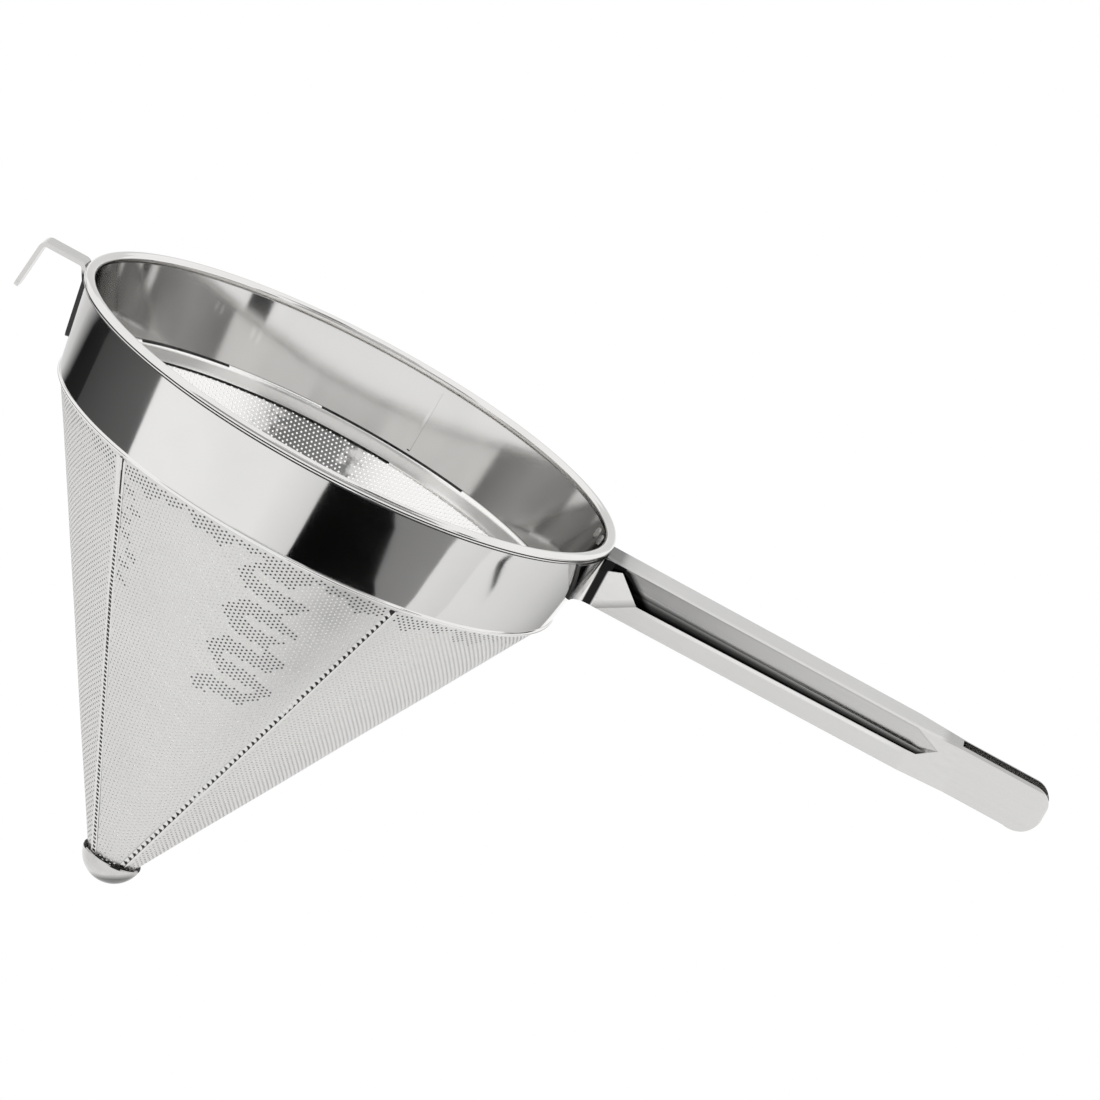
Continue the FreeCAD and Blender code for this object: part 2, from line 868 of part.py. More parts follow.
def make_hook():
    """Bent strip: a tab down the band, a level top and a leg that slants down."""
    body = new_body("hook")
    sketch = new_sketch("hook_side", "XZ_Plane", body)
    low = dim("hook_tab_low")
    thick = dim("hook_thickness")
    neck = dim("hook_neck")
    skew = dim("hook_skew")
    rise = dim("hook_rise")
    drop = dim("hook_drop")
    tab = band_radius(low) + "hook_gap"
    throat = band_radius(neck) + "hook_gap"
    rim = dim("rim_radius")
    crook = (-(rim + "hook_crook"), rise)
    inner_crook = (-(rim + "hook_inner_crook"), rise - thick)
    elbow = (-dim("hook_reach"), rise)
    inner_elbow = (-(dim("hook_reach") - thick + "hook_inner_step"), rise - thick)
    outline(sketch, [
        (-tab, -low),
        (-(tab + thick), -(low + skew)),
        (-(throat + thick), -(neck + skew)),
        inner_crook,
        inner_elbow,
        (-(dim("hook_foot") - thick), -(drop + skew)),
        (-dim("hook_foot"), -drop),
        elbow,
        crook,
        (-throat, -neck),
    ])
    strip = pad(body, sketch, "hook_pad", "hook_width", both_sides=True)
    doc.recompute()

    def bend_edge(*spots):
        """Edges across the strip that stand at one of the bends."""
        def test(first, second):
            if abs(first.y - second.y) < TOUCH:
                return False
            return any(math.hypot(first.x - x.value, first.z - z.value) < TOUCH for x, z in spots)
        return test

    outer_names = edges_where(strip, bend_edge(elbow, crook))
    rounded = blend(body, "Fillet", strip, outer_names, "hook_outer_fillet")
    doc.recompute()
    inner_names = edges_where(rounded, bend_edge(inner_elbow, inner_crook))
    inner = blend(body, "Fillet", rounded, inner_names, "hook_inner_fillet")
    doc.recompute()

    def corner_edge(first, second):
        """The short edges through the strip at the two corners of its toe."""
        across = abs(first.y - second.y) < TOUCH
        side = abs(abs(first.y) - DIMENSIONS["hook_width"] / 2) < TOUCH
        toe = (-dim("hook_foot")).value
        return across and side and min(abs(first.x - toe), abs(second.x - toe)) < TOUCH and (
            (first - second).Length < thick.value + skew.value)

    def tab_edge(first, second):
        """The same at the foot of the tab."""
        across = abs(first.y - second.y) < TOUCH
        side = abs(abs(first.y) - DIMENSIONS["hook_width"] / 2) < TOUCH
        return across and side and max(first.z, second.z) < -low.value + TOUCH

    corners = edges_where(inner, corner_edge) + edges_where(inner, tab_edge)
    blend(body, "Fillet", inner, corners, "hook_corner_fillet")
    return body


# ---------------------------------------------------------------- spot welds

def make_spot(label, azimuth, depth):
    """A shallow round spot weld on the inner face of the band."""
    spot = doc.addObject("Part::Prism", label)
    spot.Label = label
    spot.Polygon = int(DIMENSIONS["spot_sides"])
    bind(spot, "Circumradius", "spot_radius")
    bind(spot, "Height", "spot_height")
    lean = math.degrees(math.atan(DIMENSIONS["band_slope"]))
    inward = FreeCAD.Rotation(FreeCAD.Vector(0, 1, 0), -90 + lean)
    turn = FreeCAD.Rotation(FreeCAD.Vector(0, 0, 1), azimuth)
    reach = band_radius(dim(depth)) - "band_thickness" - "spot_sink"
    seat = turn.multVec(FreeCAD.Vector(reach.value, 0, -dim(depth).value))
    spot.Placement = FreeCAD.Placement(seat, turn.multiply(inward))
    return spot


# ---------------------------------------------------------------- build, check and write

nodes = [make_band(), make_rim_wire(), make_clamp_ring(), make_band_weld()]
wide_master = make_gore_master("wide_gore", wide_pitch)
narrow_master = make_gore_master("narrow_gore", narrow_pitch)
last_gore = int(DIMENSIONS["gore_count"])
nodes += [make_gore(number, wide_master) for number in range(1, last_gore)]
nodes.append(make_gore(last_gore, narrow_master))
nodes += [make_tip_cap(), make_handle(), make_hook()]
far, near = DIMENSIONS["spot_far_azimuth"], DIMENSIONS["spot_near_azimuth"]
for order, azimuth in enumerate((far, near, -near, -far), start=1):
    nodes.append(make_spot("handle_spot_%d" % order, azimuth, "spot_depth"))
for order, depth in enumerate(("hook_spot_high", "hook_spot_low"), start=1):
    nodes.append(make_spot("hook_spot_%d" % order, 180.0, depth))

doc.recompute()
for item in doc.Objects:
    if "Invalid" in item.State or "Error" in item.State:
        raise RuntimeError("%s is %s" % (item.Label, item.State))
for node in nodes:
    shape = node.Shape
    if shape.isNull() or not shape.isValid():
        raise RuntimeError("%s has no valid shape" % node.Label)
    if len(shape.Solids) != 1:
        raise RuntimeError("%s has %d solids" % (node.Label, len(shape.Solids)))
    shape.exportStep("parts/%s.step" % node.Label)
    box = shape.BoundBox
    print("%-16s volume %9.1f  x %7.1f %7.1f  y %7.1f %7.1f  z %7.1f %7.1f" % (
        node.Label, shape.Volume, box.XMin, box.XMax, box.YMin, box.YMax, box.ZMin, box.ZMax))
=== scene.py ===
import math

import bpy
import numpy as np
from mathutils import Matrix, Vector


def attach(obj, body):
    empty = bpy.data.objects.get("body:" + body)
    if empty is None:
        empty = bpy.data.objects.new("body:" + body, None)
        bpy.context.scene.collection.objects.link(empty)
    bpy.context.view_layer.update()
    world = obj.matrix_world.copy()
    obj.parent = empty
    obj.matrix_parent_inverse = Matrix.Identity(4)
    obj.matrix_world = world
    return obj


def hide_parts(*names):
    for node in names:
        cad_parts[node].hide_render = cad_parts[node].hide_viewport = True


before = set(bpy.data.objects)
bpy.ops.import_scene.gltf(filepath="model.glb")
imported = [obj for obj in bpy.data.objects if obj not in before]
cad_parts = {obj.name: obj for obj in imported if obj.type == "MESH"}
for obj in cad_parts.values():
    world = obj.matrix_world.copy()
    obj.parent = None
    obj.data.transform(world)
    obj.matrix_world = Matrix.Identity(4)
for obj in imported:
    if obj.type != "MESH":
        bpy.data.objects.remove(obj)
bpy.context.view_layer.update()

# Conical strainer in polished and perforated steel. Every size below is in millimetres, in
# the frame's own axes: origin at the centre of the rim plane, +Z up, +X along the handle.
MM = 0.001

# ---------------------------------------------------------------- driving sizes

RIM_RADIUS = 120.0
BEAD_RADIUS = 2.3
CURL_THICKNESS = 0.7
BEAD_START = -58
BEAD_END = 256
CURL_END = 279
# angles round the bead whose faces are painted dark, as painted reflection lines
BEAD_DARK = ((-13.0, 2.0), (-75.0, -26.0))
BAND_DEPTH = 39.8
BAND_LOW_RADIUS = 111.8
BAND_SLOPE = 0.1627
BAND_WALL = 0.8
HEM_DEPTH = 1.9
RING_TOP = 33.6
RING_LOW = 41.2
# turns of the clamp ring whose upper and lower rows are painted dark, as shade in the gaps
RING_TOP_GAPS = ((60, 98), (120, 146))
RING_LOW_GAPS = ((78, 282),)

GORE_COUNT = 5
NARROW_GORE = 68.0
FIRST_SEAM = -59.5
APEX_DEPTH = 235.8
CONE_SLOPE = 0.5663
GORE_TOP = 39.9
GORE_TIP = 221.5
GORE_WALL = 0.5
HOLE_PITCH = 2.0
HOLE_RADIUS = 0.5
FIRST_HOLE_ROW = 41.0
SEAM_REACH = 1.6
SEAM_TOP = 41.0
SEAM_LOW = 215.3

CAP_EDGE = 215.8
CAP_RADIUS = 13.0
CAP_LOW = 227.5
CAP_WALL = 0.8
CAP_MARKS = ((95, 107), (138, 149), (172, 180))

LATHE_STEPS = 540
RING_STEPS = 360
CAP_STEPS = 180
DOME_STEPS = 14
WIDE_GORE = (360.0 - NARROW_GORE) / (GORE_COUNT - 1)
CONE_ANGLE = math.atan(CONE_SLOPE)
FRONT_GORE = GORE_COUNT - 1
BACK_GORES = (1, 2)

# folded seams, as strips of small cells over the joints
SEAM_ROW = 0.3
SEAM_COLUMNS = 20
SEAM_BEND = 2.6
SEAM_BEND_LENGTH = 65.0
SLIT_LENGTH = 18.0
RUNG_PITCH = 2.1
NOTCH_PITCH = 3.3

# holes closed by a dark film of painted shade: a strip along the band, and rows on the front gore
ROW_PITCH = 12.0
ROWS_FROM = 138.0
EDGE_ROWS_FROM = 160.0
BAND_STRIP = 7.0

# where the handle's steel is painted with shade and highlights: its tapered tail, its pressed
# recess and its top
HANDLE_HALF = 9.5
TAIL_START = 262.0
TAIL_TAPER = 0.171
RECESS_EDGE_AT = 161.7
RECESS_EDGE_HEIGHT = -14.9
RECESS_EDGE_SLOPE = 0.011
HANDLE_TOP = -2.7


def band_radius(depth):
    """Outer radius of the band at a depth below the rim plane."""
    return BAND_LOW_RADIUS + BAND_SLOPE * (BAND_DEPTH - depth)


def cone_radius(depth):
    """Outer radius of the cone at a depth below the rim plane."""
    return CONE_SLOPE * (APEX_DEPTH - depth)


def within(value, ranges):
    """Whether a value lies inside one of some ranges."""
    return any(first < value < last for first, last in ranges)


# ---------------------------------------------------------------- mesh helpers

def make_piece(name, spots, faces, material, smooth=True, crease=40.0):
    """A mesh object from points in millimetres."""
    mesh = bpy.data.meshes.new(name)
    mesh.from_pydata((np.asarray(spots, dtype=float) * MM).tolist(), [], faces)
    mesh.validate()
    mesh.update()
    if smooth:
        mesh.shade_smooth()
        mesh.set_sharp_from_angle(angle=math.radians(crease))
    mesh.materials.append(material)
    piece = bpy.data.objects.new(name, mesh)
    bpy.context.scene.collection.objects.link(piece)
    return piece


def arc(centre, radius, start, end, steps):
    """Points on an arc about a centre (radius, height); angles in degrees."""
    angles = np.radians(np.linspace(start, end, steps + 1))
    return [(centre[0] + radius * math.cos(a), centre[1] + radius * math.sin(a)) for a in angles]


def between(first, last, steps):
    """Evenly spaced points from first to last, without last."""
    return [tuple(np.array(first) + (np.array(last) - np.array(first)) * k / steps)
            for k in range(steps)]


def lathe(profile, steps=LATHE_STEPS, closed=True):
    """Turn a profile of (radius, height) about the axis into points and quads."""
    profile = np.array(profile)
    turns = np.linspace(0, 2 * math.pi, steps, endpoint=False)
    spots = np.stack([
        np.outer(np.cos(turns), profile[:, 0]),
        np.outer(np.sin(turns), profile[:, 0]),
        np.tile(profile[:, 1], (steps, 1)),
    ], axis=-1)
    count = len(profile)
    rows = count if closed else count - 1
    faces = []
    for turn in range(steps):
        here = turn * count
        after = (turn + 1) % steps * count
        for row in range(rows):
            above = (row + 1) % count
            faces.append((here + row, after + row, after + above, here + above))
    return spots.reshape(-1, 3), faces


# ---------------------------------------------------------------- material helpers

class Nodes:
    """Builds one node material around a metal shader."""

    def __init__(self, name, base, roughness):
        self.material = bpy.data.materials.new(name)
        self.material.use_nodes = True
        self.tree = self.material.node_tree
        self.shader = self.tree.nodes["Principled BSDF"]
        self.shader.inputs["Metallic"].default_value = 1.0
        self.shader.inputs["Base Color"].default_value = (base, base, base, 1.0)
        self.shader.inputs["Roughness"].default_value = roughness
        self.coordinates = self.add("ShaderNodeTexCoord").outputs["Object"]

    def add(self, kind, **settings):
        made = self.tree.nodes.new(kind)
        for key, value in settings.items():
            setattr(made, key, value)
        return made

    def link(self, source, target):
        self.tree.links.new(source, target)

    def stretched(self, scale):
        """Object coordinates scaled by a vector, for grain that runs one way."""
        mapping = self.add("ShaderNodeMapping")
        mapping.inputs["Scale"].default_value = scale
        self.link(self.coordinates, mapping.inputs["Vector"])
        return mapping.outputs["Vector"]

    def noise(self, scale, detail, vector=None):
        made = self.add("ShaderNodeTexNoise")
        made.inputs["Scale"].default_value = scale
        made.inputs["Detail"].default_value = detail
        made.inputs["Roughness"].default_value = 0.55
        self.link(vector if vector is not None else self.coordinates, made.inputs["Vector"])
        return made.outputs["Fac"]

    def span(self, value, low, high, start=0.3, end=0.7):
        """Map a noise value to a range."""
        made = self.add("ShaderNodeMapRange")
        made.inputs["From Min"].default_value = start
        made.inputs["From Max"].default_value = end
        made.inputs["To Min"].default_value = low
        made.inputs["To Max"].default_value = high
        self.link(value, made.inputs["Value"])
        return made.outputs["Result"]

    def combine(self, operation, first, second):
        made = self.add("ShaderNodeMath", operation=operation)
        for socket, item in zip(made.inputs, (first, second)):
            if isinstance(item, (int, float)):
                socket.default_value = item
            else:
                self.link(item, socket)
        return made.outputs["Value"]

    def product(self, first, *others):
        """Masks or levels multiplied together."""
        for other in others:
            first = self.combine("MULTIPLY", first, other)
        return first

    def place_in_part(self):
        """The three object coordinates, in metres."""
        parts = self.add("ShaderNodeSeparateXYZ")
        self.link(self.coordinates, parts.inputs["Vector"])
        return parts.outputs["X"], parts.outputs["Y"], parts.outputs["Z"]

    def step(self, value, start, end, low=0.0, high=1.0):
        """A clamped ramp between two places given in millimetres."""
        return self.span(value, low, high, start * MM, end * MM)

    def line(self, x, z, slope, offset):
        """z - slope * x - offset, for slanting borders; the offset is in millimetres."""
        slanted = self.combine("ADD", self.combine("MULTIPLY", x, -slope), -offset * MM)
        return self.combine("ADD", z, slanted)

    def swap(self, first, second, mask):
        """The first level, changed to the second where the mask is one."""
        made = self.add("ShaderNodeMix", data_type="FLOAT")
        for socket, item in zip(made.inputs[:1] + made.inputs[2:4], (mask, first, second)):
            if isinstance(item, (int, float)):
                socket.default_value = item
            else:
                self.link(item, socket)
        return made.outputs[0]

    def stops(self, value, levels):
        """A grey ramp from (place in millimetres, level) pairs in order of place."""
        start = levels[0][0]
        reach = levels[-1][0] - start
        ramp = self.add("ShaderNodeValToRGB")
        self.link(self.step(value, start, start + reach), ramp.inputs["Fac"])
        bar = ramp.color_ramp.elements
        for place_at, _ in levels[1:-1]:
            bar.new((place_at - start) / reach)
        for entry, (place_at, level) in zip(bar, levels):
            entry.position = (place_at - start) / reach
            entry.color = (level, level, level, 1.0)
        return ramp.outputs["Color"]

    def tint(self, value):
        """Use a grey level, a little warm, for the base colour."""
        made = self.add("ShaderNodeCombineColor")
        for socket, share in zip(made.inputs, (1.0, 0.99, 0.975)):
            self.link(self.combine("MULTIPLY", value, share), socket)
        self.link(made.outputs["Color"], self.shader.inputs["Base Color"])

    def bump(self, value, distance):
        """Fine relief; the distance is in metres."""
        made = self.add("ShaderNodeBump")
        made.inputs["Strength"].default_value = 1.0
        made.inputs["Distance"].default_value = distance
        self.link(value, made.inputs["Height"])
        self.link(made.outputs["Normal"], self.shader.inputs["Normal"])


def polished_steel(name, base=0.86, roughness=0.045):
    """Mirror-polished sheet: faint polishing haze, a few smears and soft ripples."""
    steel = Nodes(name, base, roughness)
    haze = steel.noise(38.0, detail=6.0)
    smear = steel.noise(11.0, detail=3.0)
    steel.tint(steel.combine(
        "ADD", steel.span(haze, -0.015, 0.015), steel.span(smear, base - 0.03, base + 0.02)))
    satin = steel.span(smear, roughness, roughness + 0.03)
    steel.link(
        steel.combine("ADD", steel.span(haze, 0.0, 0.035), satin), steel.shader.inputs["Roughness"])
    steel.bump(steel.noise(16.0, detail=2.0), 0.00012)
    return steel.material


def perforated_steel(name, base=0.8, roughness=0.34):
    """Dull rolled sheet of the cone, with light blotches and fine pitting."""
    steel = Nodes(name, base, roughness)
    blotch = steel.noise(30.0, detail=5.0)
    fine = steel.noise(700.0, detail=3.0)
    steel.tint(steel.combine(
        "ADD", steel.span(fine, -0.03, 0.03), steel.span(blotch, base - 0.04, base + 0.03)))
    satin = steel.span(blotch, roughness - 0.05, roughness + 0.06)
    steel.link(
        steel.combine("ADD", steel.span(fine, 0.0, 0.06), satin), steel.shader.inputs["Roughness"])
    steel.bump(fine, 0.00003)
    return steel.material


def handle_steel(name):
    """Satin sheet with painted shade in the creases at the root and along the pressed recess."""
    steel = Nodes(name, 0.77, 0.15)
    lines = steel.noise(1.0, detail=3.0, vector=steel.stretched((30.0, 900.0, 900.0)))
    cloud = steel.noise(24.0, detail=5.0)
    x, y, z = steel.place_in_part()
    past_tail = steel.combine("MAXIMUM", steel.combine("ADD", x, -TAIL_START * MM), 0.0)
    taper = steel.combine("MULTIPLY", past_tail, TAIL_TAPER)
    side = steel.combine("ADD", steel.combine("ABSOLUTE", y, 0.0), taper)
    left = steel.line(z, x, -1.2, 121.7)
    # the side: painted light and shade on a facet at the root, and a painted highlight line under
    # the recess
    lower = steel.line(x, z, 0.592, -97.4)
    facet = steel.product(
        steel.step(left, 0.1, -0.1), steel.step(lower, -0.05, 0.1), steel.step(x, 122.4, 122.9))
    low_edge = (RECESS_EDGE_HEIGHT - RECESS_EDGE_SLOPE * RECESS_EDGE_AT) * MM
    edge = steel.combine("ADD", steel.combine("MULTIPLY", x, RECESS_EDGE_SLOPE), low_edge)
    height = steel.combine("SUBTRACT", z, edge)
    bright = steel.product(
        steel.step(height, -1.5, -0.7), steel.step(height, 0.3, 0.1),
        steel.step(x, 140.0, 155.0), steel.step(x, 262.0, 250.0))
    level = steel.swap(0.7, 0.85, bright)
    level = steel.swap(level, steel.step(lower, 0.0, 4.0, 0.4, 0.82), facet)
    # the recess: painted shade, black along its lower edge, in a ramp that tightens to the tail,
    # and at its root
    tighter = steel.combine("ADD", steel.combine("MULTIPLY", x, 7.5), -0.2)
    height = steel.combine("MULTIPLY", height, tighter)
    grey = steel.stops(height, [
        (0.0, 0.005), (0.9, 0.012), (1.5, 0.05), (2.2, 0.085), (2.9, 0.17), (3.6, 0.28),
        (4.4, 0.42), (5.2, 0.76), (6.0, 0.78)])
    grey = steel.combine("MULTIPLY", grey, steel.step(left, 4.0, 7.5, 0.04, 1.0))
    inside = steel.product(
        steel.step(side, HANDLE_HALF - 0.1, HANDLE_HALF - 0.35),
        steel.step(x, 124.0, 125.0), steel.step(x, 278.0, 276.0))
    level = steel.swap(level, grey, inside)
    # the root: painted shade and painted reflections in strips where the flared sheet bends round
    # the band
    root = steel.stops(x, [
        (110.0, 0.16), (113.4, 0.08), (114.3, 0.14), (115.2, 0.45), (117.4, 0.85),
        (118.6, 0.9), (119.1, 0.018), (122.2, 0.018), (122.9, 0.8), (124.0, 0.8)])
    below = steel.step(z, HANDLE_TOP, HANDLE_TOP - 0.3)
    level = steel.swap(level, root, steel.product(below, steel.step(x, 123.2, 122.9)))
    # a near-black wedge of painted shade under the top, by the root
    wedge_shade = steel.product(
        steel.step(steel.line(x, z, 0.4, -56.56), 0.0, 0.5), below,
        steel.step(x, 118.6, 119.2), steel.step(x, 129.5, 128.5))
    level = steel.swap(level, 0.014, wedge_shade)
    # the top: painted shade by the rim and before the open end
    top = steel.stops(x, [
        (118.0, 0.3), (125.0, 0.34), (128.5, 0.58), (134.0, 0.68), (142.0, 0.74),
        (272.0, 0.74), (275.5, 0.5), (282.0, 0.5)])
    level = steel.swap(top, level, below)
    grain = steel.combine("ADD", steel.span(lines, 0.97, 1.02), steel.span(cloud, -0.02, 0.02))
    level = steel.combine("MULTIPLY", level, grain)
    steel.tint(level)
    # the painted shade and highlights also set the specular tint
    steel.link(steel.span(level, 0.0, 1.0, 0.0, 0.5), steel.shader.inputs["Specular Tint"])
    blur = steel.combine("MULTIPLY", steel.step(height, 5.6, 4.8), inside)
    satin = steel.combine("ADD", steel.span(lines, 0.0, 0.05), steel.span(cloud, 0.14, 0.2))
    steel.link(steel.swap(satin, 0.45, blur), steel.shader.inputs["Roughness"])
    steel.bump(lines, 0.00001)
    return steel.material


def hook_steel(name):
    """Satin strip, with painted shade, near black, where its leg lies on the band."""
    steel = Nodes(name, 0.66, 0.2)
    lines = steel.noise(1.0, detail=3.0, vector=steel.stretched((60.0, 700.0, 60.0)))
    x, _, z = steel.place_in_part()
    # painted shade: the leg by the band is near black
    leg = steel.combine("MULTIPLY", steel.step(z, -2.5, -4.5), steel.step(x, -128.0, -124.0))
    steel.tint(steel.swap(steel.span(lines, 0.64, 0.69), 0.05, leg))
    steel.link(steel.span(lines, 0.18, 0.26), steel.shader.inputs["Roughness"])
    steel.bump(lines, 0.00001)
    return steel.material


def inner_steel(name):
    """Cone's inside, painted light, with a patch of painted shade below the band's far side."""
    steel = Nodes(name, 0.9, 0.28)
    blotch = steel.noise(30.0, detail=5.0)
    fine = steel.noise(260.0, detail=3.0)
    x, y, z = steel.place_in_part()
    ragged = steel.span(fine, -0.006, 0.006)
    edge = steel.combine("ADD", x, ragged)
    patch = steel.product(
        steel.step(edge, -34.0, -27.0), steel.step(edge, 9.0, 3.0), steel.step(y, 20.0, 40.0),
        steel.step(steel.combine("ADD", z, ragged), -64.9, -57.9))
    # painted light: lighter than the cone's outer face; painted shade in the patch
    steel.tint(steel.swap(steel.span(blotch, 0.93, 0.98), 0.33, patch))
    steel.link(steel.span(blotch, 0.24, 0.32), steel.shader.inputs["Roughness"])
    steel.bump(fine, 0.00003)
    return steel.material


def cap_steel(name):
    """Pressed cap, with painted shade low down towards the handle."""
    steel = Nodes(name, 0.6, 0.2)
    dents = steel.noise(120.0, detail=3.0)
    grain = steel.noise(900.0, detail=2.0)
    x, _, z = steel.place_in_part()
    # painted shade on the cap's lower side, towards the handle
    low = steel.step(steel.line(x, z, 0.5, 0.0), -221.5, -224.5)
    steel.tint(steel.swap(steel.span(dents, 0.56, 0.7), 0.16, low))
    steel.link(steel.span(grain, 0.14, 0.24), steel.shader.inputs["Roughness"])
    steel.bump(dents, 0.0006)
    return steel.material


MIRROR = polished_steel("band_steel")
INSIDE = polished_steel("band_inner_steel", base=0.73, roughness=0.05)
BEAD = polished_steel("bead_steel", base=0.82, roughness=0.08)
RING = polished_steel("ring_steel", base=0.97, roughness=0.22)
MESH = perforated_steel("cone_steel", base=0.74)
INNER = inner_steel("cone_inner_steel")
SEAM = perforated_steel("seam_steel", base=0.8, roughness=0.28)
GRIP = handle_steel("handle_steel")
HOOK = hook_steel("hook_steel")
CAP = cap_steel("cap_steel")
# near-black sheet for painted shade in gaps, slits and closed holes, and for painted reflection
# lines on the bead
PAINTED_SHADE = perforated_steel("painted_shade_steel", base=0.045, roughness=0.5)


def place(piece, slot, *nodes):
    """Fix a piece to the strainer, in place of the named frame nodes."""
    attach(piece, "root")
    if nodes:
        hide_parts(*nodes)


# ---------------------------------------------------------------- band and clamp ring

def make_band():
    """Tapered band with its rolled rim, wall and small outward hem."""
    bead = (RIM_RADIUS - BEAD_RADIUS, 0.0)
    inner = BEAD_RADIUS - CURL_THICKNESS
    foot = (band_radius(BAND_DEPTH), -BAND_DEPTH)
    hem = (band_radius(BAND_DEPTH - HEM_DEPTH), -(BAND_DEPTH - HEM_DEPTH))
    hem_centre = (foot[0] - 0.25, (foot[1] + hem[1]) / 2)
    outer_wall_top = (band_radius(2.0), -2.0)
    inner_wall_top = (bead[0] + BEAD_RADIUS * math.cos(math.radians(BEAD_END)),
                      BEAD_RADIUS * math.sin(math.radians(BEAD_END)))
    profile = []
    profile += arc(hem_centre, 1.05, -62, 62, 10)
    profile += between(hem, outer_wall_top, 12)[1:]
    profile += arc(bead, inner, CURL_END, BEAD_START, 36)
    profile += arc(bead, BEAD_RADIUS, BEAD_START, BEAD_END, 44)
    profile += between(inner_wall_top, (foot[0] - BAND_WALL, foot[1]), 12)[1:]
    profile += [(foot[0] - BAND_WALL, foot[1]), (foot[0] - 0.1, foot[1] - 0.05)]
    spots, faces = lathe(profile)
    piece = make_piece("band_shell", spots, faces, MIRROR)
    piece.data.materials.append(INSIDE)
    piece.data.materials.append(BEAD)
    piece.data.materials.append(PAINTED_SHADE)
    for face in piece.data.polygons:
        rise = face.center.z / MM
        reach = math.hypot(face.center.x, face.center.y) / MM
        if rise > -BEAD_RADIUS:
            round_bead = math.degrees(math.atan2(rise, reach - bead[0]))
            # bead faces within those angles take the near-black material: painted reflection lines
            face.material_index = 3 if within(round_bead, BEAD_DARK) else 2
        elif reach < band_radius(-rise) - BAND_WALL / 2:
            face.material_index = 1
    place(piece, "polished_steel", "band")


def make_clamp_ring():
    """Rounded ring that presses the cone's edge against the foot of the band."""
    face = band_radius(RING_TOP) - BAND_WALL
    top = -RING_TOP
    low = -RING_LOW
    profile = [
        (face - 0.08, top), (face - 0.7, top + 0.05), (face - 1.25, top - 0.15),
        (face - 1.7, top - 0.7), (face - 2.1, top - 2.4), (face - 2.5, low + 2.4),
        (face - 2.95, low + 1.0), (face - 3.15, low + 0.35), (face - 3.0, low + 0.05),
        (face - 2.55, low), (face - 1.95, low + 1.2), (face - 1.05, top - 1.1),
        (face - 0.2, top - 0.9),
    ]
    spots, faces = lathe(profile, steps=RING_STEPS)
    piece = make_piece("ring_shell", spots, faces, RING, crease=60)
    piece.data.materials.append(PAINTED_SHADE)
    for number, face in enumerate(piece.data.polygons):
        turn, row = divmod(number, len(profile))
        # painted shade: the ring's top row all round, and parts of its upper and lower rows
        top_gap = row == 0 or (row in (1, 2) and within(turn, RING_TOP_GAPS))
        low_gap = row in (6, 7, 8) and within(turn, RING_LOW_GAPS)
        face.material_index = 1 if top_gap or low_gap else 0
    place(piece, "polished_steel", "clamp_ring")


# ---------------------------------------------------------------- perforated cone

def cone_point(slant, turn, lift):
    """Points of the cone from slant lengths and azimuths, lifted off its outer face."""
    radius = slant * math.sin(CONE_ANGLE) + lift * math.cos(CONE_ANGLE)
    height = slant * math.cos(CONE_ANGLE) - APEX_DEPTH - lift * math.sin(CONE_ANGLE)
    return np.stack([radius * np.cos(turn), radius * np.sin(turn), height], axis=-1)


def slant_at(depth):
    """Length from the cone's apex, along its face, to a depth."""
    return (APEX_DEPTH - depth) / math.cos(CONE_ANGLE)


def perforated_sheet(width):
    """Flat pattern of one gore of a width in degrees, with its points, faces and holes.

    The pattern is drawn in honeycomb cells, each with a six-sided hole, in a sector whose
    point is the cone's apex. Cells over the edge are drawn in to it and keep no hole.
    """
    half = math.radians(width) / 2 * math.sin(CONE_ANGLE)
    far = slant_at(GORE_TOP)
    near = slant_at(GORE_TIP)
    first_row = slant_at(FIRST_HOLE_ROW)
    across = HOLE_PITCH / math.sqrt(3) / 2
    along = HOLE_PITCH / 2
    corners = ((2, 0), (1, 1), (-1, 1), (-2, 0), (-1, -1), (1, -1))
    reach = int(far * math.sin(half) / (3 * across)) + 2
    flat = []
    number = {}

    def corner(k, m):
        if (k, m) not in number:
            s = k * across
            t = m * along
            slant = min(max(math.hypot(s, t), near), far)
            turn = min(max(math.atan2(s, t), -half), half)
            number[(k, m)] = len(flat)
            flat.append((slant * math.sin(turn), slant * math.cos(turn)))
        return number[(k, m)]

    faces = []
    holes = []
    for i in range(-reach, reach + 1):
        for j in range(int(near / HOLE_PITCH) - 1, int(far / HOLE_PITCH) + 2):
            k = 3 * i
            m = 2 * j + i % 2
            s = k * across
            t = m * along
            slant = math.hypot(s, t)
            turn = math.atan2(s, t)
            if slant > far + HOLE_PITCH or slant < near - HOLE_PITCH:
                continue
            if abs(turn) > half + HOLE_PITCH / max(slant, 1.0):
                continue
            ring = [corner(k + a, m + b) for a, b in corners]
            side = slant * math.sin(half - abs(turn))
            if near + 1.2 < slant < first_row and side > SEAM_REACH + 0.7:
                start = len(flat)
                holes.append((s, t, tuple(range(start, start + 6))))
                for a, b in corners:
                    angle = math.atan2(b * along, a * across)
                    flat.append((s + HOLE_RADIUS * math.cos(angle),
                                 t + HOLE_RADIUS * math.sin(angle)))
                for n in range(6):
                    faces.append((ring[n], ring[(n + 1) % 6], start + (n + 1) % 6, start + n))
            else:
                faces.append(tuple(ring))
    return np.array(flat), faces, holes


